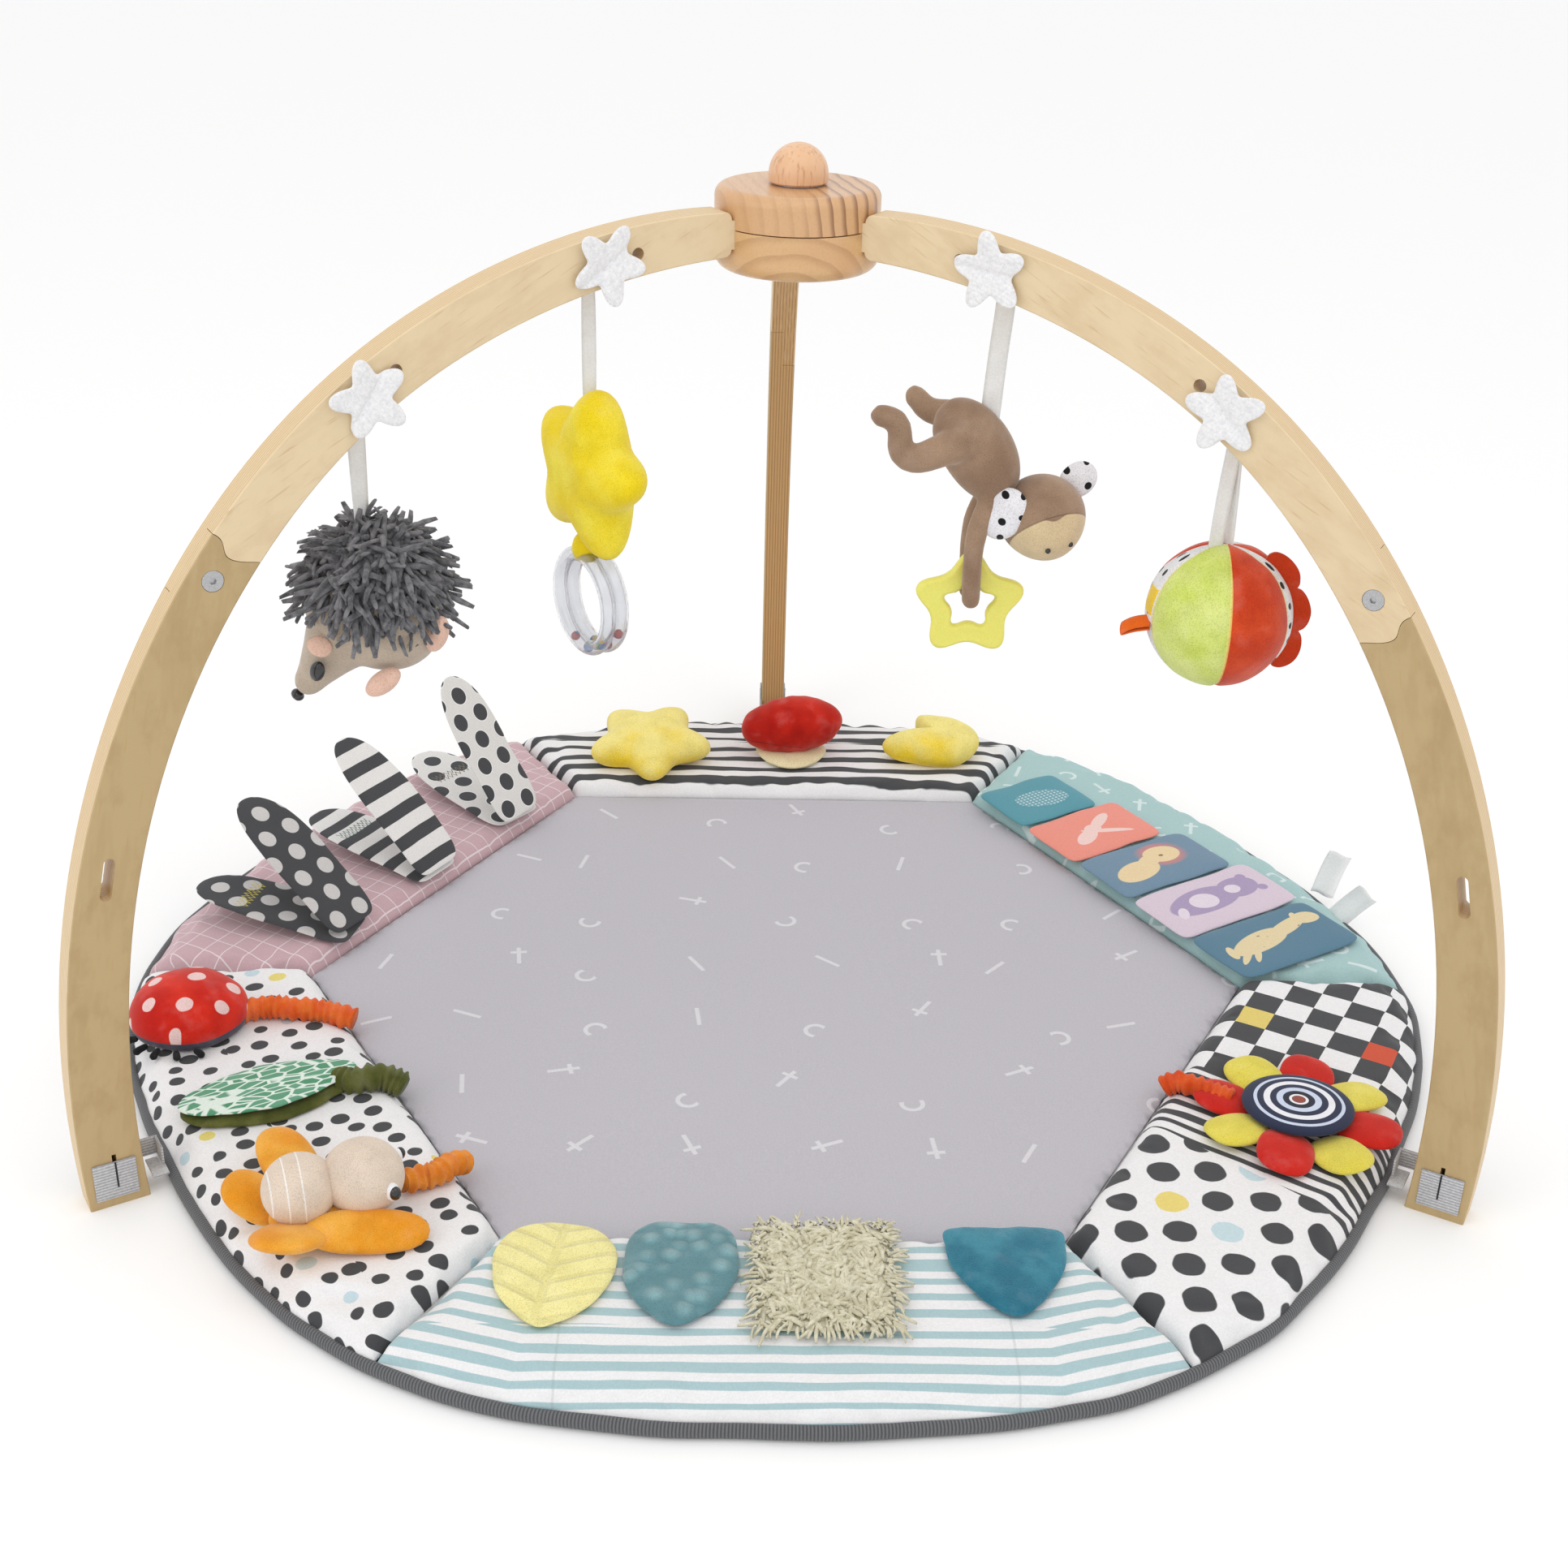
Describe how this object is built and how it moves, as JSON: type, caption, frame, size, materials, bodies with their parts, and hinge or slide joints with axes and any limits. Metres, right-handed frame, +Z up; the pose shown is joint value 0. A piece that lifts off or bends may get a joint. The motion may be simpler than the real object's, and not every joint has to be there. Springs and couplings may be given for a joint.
{
  "type": "activity play gym",
  "caption": "Baby play gym: bent-plywood legs in a clamped wooden hub over a round padded mat, with hanging plush toys, tethered toys and cloth flaps.",
  "frame": {"origin": "on the floor, under the hub's axis", "axes": "+Z up, -Y towards the front, rear leg at +Y"},
  "size_m": [1.0599, 1.1198, 0.7139],
  "materials": {
    "pine": "satin varnished pine with dark growth rings",
    "beech": "satin varnished beech",
    "birch": "satin varnished birch plywood",
    "birch_lower": "satin varnished birch plywood, yellower",
    "steel": "zinc plated",
    "nylon": "moulded",
    "backing": "ribbed non-slip cloth",
    "wadding": "polyester wadding",
    "centre_cloth": "printed cotton",
    "stripe_blue_cloth": "printed cotton",
    "checker_cloth": "printed cotton",
    "aqua_cloth": "printed cotton",
    "stripe_grey_cloth": "printed cotton",
    "pink_cloth": "printed cotton",
    "dotted_cloth": "printed cotton",
    "webbing": "hook and loop webbing",
    "label": "woven label",
    "yellow_plush": "velour",
    "felt": "felt and satin ribbon",
    "taupe_plush": "short plush",
    "chenille": "chenille",
    "bright_velour": "velour",
    "clear_plastic": "clear",
    "beads": "mixed colours",
    "brown_plush": "short plush",
    "silicone": "translucent",
    "gored_plush": "plush gores",
    "scarlet_plush": "plush",
    "red_plush": "velour",
    "leaf_cloth": "printed crinkle cloth",
    "orange_plush": "velour",
    "flower_plush": "velour",
    "disc_cloth": "printed satin",
    "petal_dotted": "crinkle cloth",
    "petal_striped": "crinkle cloth",
    "petal_spotted": "crinkle cloth",
    "page_teal": "printed cotton",
    "page_coral": "printed cotton",
    "page_slate": "printed cotton",
    "page_lilac": "printed cotton",
    "page_blue": "printed cotton",
    "quilted_yellow": "quilted cotton",
    "minky_teal": "dimpled minky",
    "shaggy_beige": "long pile",
    "velour_teal": "corduroy velour"
  },
  "bodies": {
    "gym": {"hub_base": "pine", "hub_lid": "pine", "hub_nut": "steel", "leg_left_upper": "birch", "leg_left_lower": "birch_lower", "leg_right_upper": "birch", "leg_right_lower": "birch_lower", "leg_rear_upper": "birch", "leg_rear_lower": "birch_lower", "leg_screws": "steel", "leg_sleeve_nuts": "steel", "mat_backing": "backing", "mat_wadding": "wadding", "mat_centre": "centre_cloth", "panel_front": "stripe_blue_cloth", "panel_front_right": "checker_cloth", "panel_rear_right": "aqua_cloth", "panel_rear": "stripe_grey_cloth", "panel_rear_left": "pink_cloth", "panel_front_left": "dotted_cloth", "leg_straps": "webbing", "care_labels": "label", "border_plush": "yellow_plush"},
    "knob_washer": {"knob_washer": "nylon"},
    "knob": {"knob": "beech", "knob_stud": "steel"},
    "hedgehog": {"hedgehog_hanger": "felt", "hedgehog_body": "taupe_plush", "hedgehog_quills": "chenille"},
    "star_rattle": {"star_hanger": "felt", "star_plush": "bright_velour", "rattle_ring": "clear_plastic", "rattle_beads": "beads"},
    "monkey": {"monkey_hanger": "felt", "monkey_body": "brown_plush", "monkey_head": "brown_plush", "teether": "silicone"},
    "ball": {"ball_hanger": "felt", "ball_body": "gored_plush", "ball_trim": "scarlet_plush"},
    "ladybug": {"ladybug": "red_plush"},
    "leaf_toy": {"leaf_toy": "leaf_cloth"},
    "butterfly": {"butterfly": "orange_plush"},
    "flower": {"flower": "flower_plush", "flower_disc": "disc_cloth"},
    "petal_dotted_lower": {"petal_dotted_lower": "petal_dotted"},
    "petal_dotted_upper": {"petal_dotted_upper": "petal_dotted"},
    "petal_striped_lower": {"petal_striped_lower": "petal_striped"},
    "petal_striped_upper": {"petal_striped_upper": "petal_striped"},
    "petal_spotted_lower": {"petal_spotted_lower": "petal_spotted"},
    "petal_spotted_upper": {"petal_spotted_upper": "petal_spotted"},
    "page_1": {"page_1": "page_teal"},
    "page_2": {"page_2": "page_coral"},
    "page_3": {"page_3": "page_slate"},
    "page_4": {"page_4": "page_lilac"},
    "page_5": {"page_5": "page_blue"},
    "texture_leaf": {"texture_leaf": "quilted_yellow"},
    "texture_minky": {"texture_minky": "minky_teal"},
    "texture_shaggy": {"texture_shaggy": "shaggy_beige"},
    "texture_velour": {"texture_velour": "velour_teal"}
  },
  "joints": [
    {"name": "knob_lift", "type": "slide", "parent": "gym", "child": "knob_washer", "axis": [0, 0, 1], "range_m": [0, 0.00376]},
    {"name": "knob_turn", "type": "hinge", "parent": "knob_washer", "child": "knob", "pos_m": [0, 0, 0.69], "axis": [0, 0, 1], "range_deg": [0, 1080]},
    {"name": "hedgehog_swing", "type": "hinge", "parent": "gym", "child": "hedgehog", "pos_m": [-0.29098, -0.168, 0.5745], "axis": [-0.5, 0.866, 0], "range_deg": [-12, 12]},
    {"name": "star_rattle_swing", "type": "hinge", "parent": "gym", "child": "star_rattle", "pos_m": [-0.13856, -0.08, 0.6455], "axis": [-0.5, 0.866, 0], "range_deg": [-12, 12]},
    {"name": "monkey_swing", "type": "hinge", "parent": "gym", "child": "monkey", "pos_m": [0.13856, -0.08, 0.6455], "axis": [-0.5, -0.866, 0], "range_deg": [-12, 12]},
    {"name": "ball_swing", "type": "hinge", "parent": "gym", "child": "ball", "pos_m": [0.29098, -0.168, 0.5745], "axis": [-0.5, -0.866, 0], "range_deg": [-12, 12]},
    {"name": "ladybug_lift", "type": "hinge", "parent": "gym", "child": "ladybug", "pos_m": [-0.345, -0.09526, 0.0335], "axis": [-0.5, 0.866, 0], "range_deg": [0, 70]},
    {"name": "leaf_toy_lift", "type": "hinge", "parent": "gym", "child": "leaf_toy", "pos_m": [-0.2935, -0.18446, 0.0335], "axis": [-0.5, 0.866, 0], "range_deg": [0, 70]},
    {"name": "butterfly_lift", "type": "hinge", "parent": "gym", "child": "butterfly", "pos_m": [-0.2375, -0.28146, 0.0335], "axis": [-0.5, 0.866, 0], "range_deg": [0, 70]},
    {"name": "flower_lift", "type": "hinge", "parent": "gym", "child": "flower", "pos_m": [0.3, -0.1732, 0.0335], "axis": [-0.5, -0.866, 0], "range_deg": [0, 70]},
    {"name": "petal_dotted_lower_lift", "type": "hinge", "parent": "gym", "child": "petal_dotted_lower", "pos_m": [-0.3685, 0.05456, 0.027], "axis": [0.5, 0.866, 0], "range_deg": [0, 45]},
    {"name": "petal_dotted_upper_lift", "type": "hinge", "parent": "petal_dotted_lower", "child": "petal_dotted_upper", "pos_m": [-0.37023, 0.05556, 0.035], "axis": [0.5, 0.866, 0], "range_deg": [-24, 35], "stiffness_Nm_per_rad": 0.25},
    {"name": "petal_striped_lower_lift", "type": "hinge", "parent": "gym", "child": "petal_striped_lower", "pos_m": [-0.3095, 0.15675, 0.027], "axis": [0.5, 0.866, 0], "range_deg": [0, 45]},
    {"name": "petal_striped_upper_lift", "type": "hinge", "parent": "petal_striped_lower", "child": "petal_striped_upper", "pos_m": [-0.31123, 0.15775, 0.035], "axis": [0.5, 0.866, 0], "range_deg": [-32, 35], "stiffness_Nm_per_rad": 0.25},
    {"name": "petal_spotted_lower_lift", "type": "hinge", "parent": "gym", "child": "petal_spotted_lower", "pos_m": [-0.2475, 0.26414, 0.027], "axis": [0.5, 0.866, 0], "range_deg": [0, 45]},
    {"name": "petal_spotted_upper_lift", "type": "hinge", "parent": "petal_spotted_lower", "child": "petal_spotted_upper", "pos_m": [-0.24923, 0.26514, 0.035], "axis": [0.5, 0.866, 0], "range_deg": [-46, 35], "stiffness_Nm_per_rad": 0.25},
    {"name": "page_1_flip", "type": "hinge", "parent": "gym", "child": "page_1", "pos_m": [0.228, 0.29791, 0.03], "axis": [0.5, -0.866, 0], "range_deg": [0, 150]},
    {"name": "page_2_flip", "type": "hinge", "parent": "gym", "child": "page_2", "pos_m": [0.268, 0.22863, 0.03], "axis": [0.5, -0.866, 0], "range_deg": [0, 150]},
    {"name": "page_3_flip", "type": "hinge", "parent": "gym", "child": "page_3", "pos_m": [0.308, 0.15935, 0.03], "axis": [0.5, -0.866, 0], "range_deg": [0, 150]},
    {"name": "page_4_flip", "type": "hinge", "parent": "gym", "child": "page_4", "pos_m": [0.348, 0.09007, 0.03], "axis": [0.5, -0.866, 0], "range_deg": [0, 150]},
    {"name": "page_5_flip", "type": "hinge", "parent": "gym", "child": "page_5", "pos_m": [0.388, 0.02079, 0.03], "axis": [0.5, -0.866, 0], "range_deg": [0, 150]},
    {"name": "texture_leaf_flip", "type": "hinge", "parent": "gym", "child": "texture_leaf", "pos_m": [-0.157, -0.34641, 0.026], "axis": [-1, 0, 0], "range_deg": [0, 150]},
    {"name": "texture_minky_flip", "type": "hinge", "parent": "gym", "child": "texture_minky", "pos_m": [-0.071, -0.34641, 0.026], "axis": [-1, 0, 0], "range_deg": [0, 150]},
    {"name": "texture_shaggy_flip", "type": "hinge", "parent": "gym", "child": "texture_shaggy", "pos_m": [0.027, -0.34641, 0.026], "axis": [-1, 0, 0], "range_deg": [0, 150]},
    {"name": "texture_velour_flip", "type": "hinge", "parent": "gym", "child": "texture_velour", "pos_m": [0.154, -0.34641, 0.026], "axis": [-1, 0, 0], "range_deg": [0, 150]}
  ],
  "couplings": [
    {"joint": "knob_lift", "follows": "knob_turn", "m_per_rad": 0.00019894}
  ]
}
